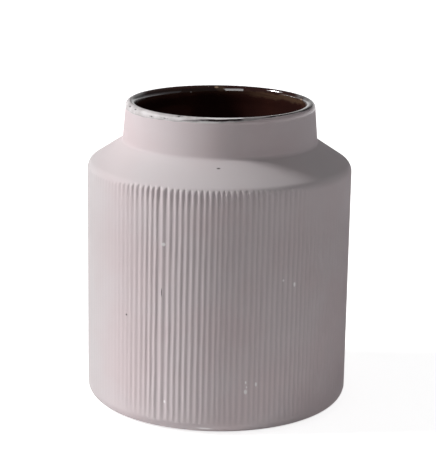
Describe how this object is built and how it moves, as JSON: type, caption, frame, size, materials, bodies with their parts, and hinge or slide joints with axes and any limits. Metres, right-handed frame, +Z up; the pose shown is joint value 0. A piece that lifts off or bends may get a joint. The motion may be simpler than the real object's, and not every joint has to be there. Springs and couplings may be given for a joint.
{
  "type": "utensil crock",
  "caption": "Round stoneware crock with an upright fluted wall, sloping shoulder and short open neck, glazed dark inside, that stands on a counter and holds kitchen utensils.",
  "frame": {"origin": "on the surface that the crock stands on, under the middle of the foot ring", "axes": "+Z up along the axis of the crock, out of its mouth; the crock is round, so X and Y are any two directions across it"},
  "size_m": [0.1548, 0.1548, 0.1778],
  "materials": {
    "fired_clay": "bare fired stoneware",
    "matt_slip": "matt warm grey slip",
    "dark_gloss_glaze": "gloss, very dark brown",
    "pale_gloss_glaze": "gloss, pale grey with dark breaks",
    "base_glaze": "thin satin glaze"
  },
  "bodies": {
    "root": {"stoneware_body": "fired_clay", "fluted_slip": "matt_slip", "liner_glaze": "dark_gloss_glaze", "rim_glaze": "pale_gloss_glaze", "base_glaze": "base_glaze"}
  },
  "joints": []
}
